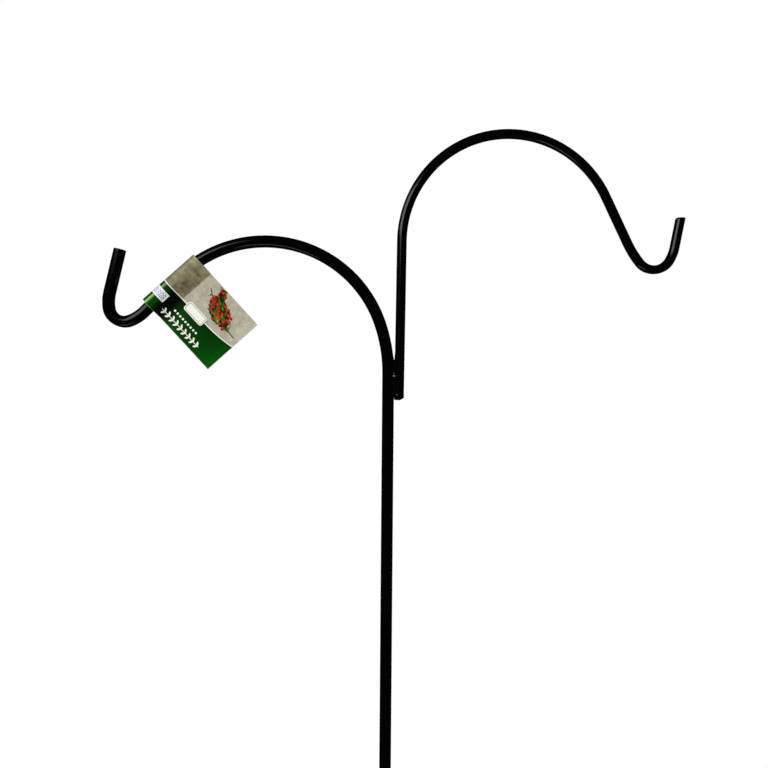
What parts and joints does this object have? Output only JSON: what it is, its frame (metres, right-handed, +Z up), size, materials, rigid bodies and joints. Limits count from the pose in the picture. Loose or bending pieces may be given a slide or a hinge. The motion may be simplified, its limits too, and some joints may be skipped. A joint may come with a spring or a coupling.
{
  "type": "double shepherds hook",
  "caption": "Tall black steel garden pole with two curved hanging hooks at different heights, a step-in fork at its foot and a folded card tag that swings on the lower hook.",
  "frame": {"origin": "on the pole's axis at the ground line, 165 mm above the pole's point", "axes": "+Z up along the pole, -X towards the lower hook, +X towards the upper hook, the pictured side faces -Y"},
  "size_m": [0.6217, 0.0184, 1.8799],
  "materials": {
    "pole_coat": "gloss",
    "arm_coat": "gloss",
    "weld_coat": "semi-gloss",
    "fork_coat": "semi-gloss",
    "printed_card": "gloss print",
    "white_label": "matte"
  },
  "bodies": {
    "hook": {"main_pole": "pole_coat", "upper_arm": "arm_coat", "arm_weld_front": "weld_coat", "arm_weld_rear": "weld_coat", "ground_fork": "fork_coat", "fork_weld_front": "weld_coat", "fork_weld_rear": "weld_coat"},
    "tag": {"tag_card": "printed_card", "tag_sticker": "white_label"}
  },
  "joints": [
    {"name": "tag_swing", "type": "hinge", "parent": "hook", "child": "tag", "pos_m": [-0.22384, 0, 1.54509], "axis": [0.7373, 0, 0.6756], "range_deg": [-170, 170]}
  ]
}
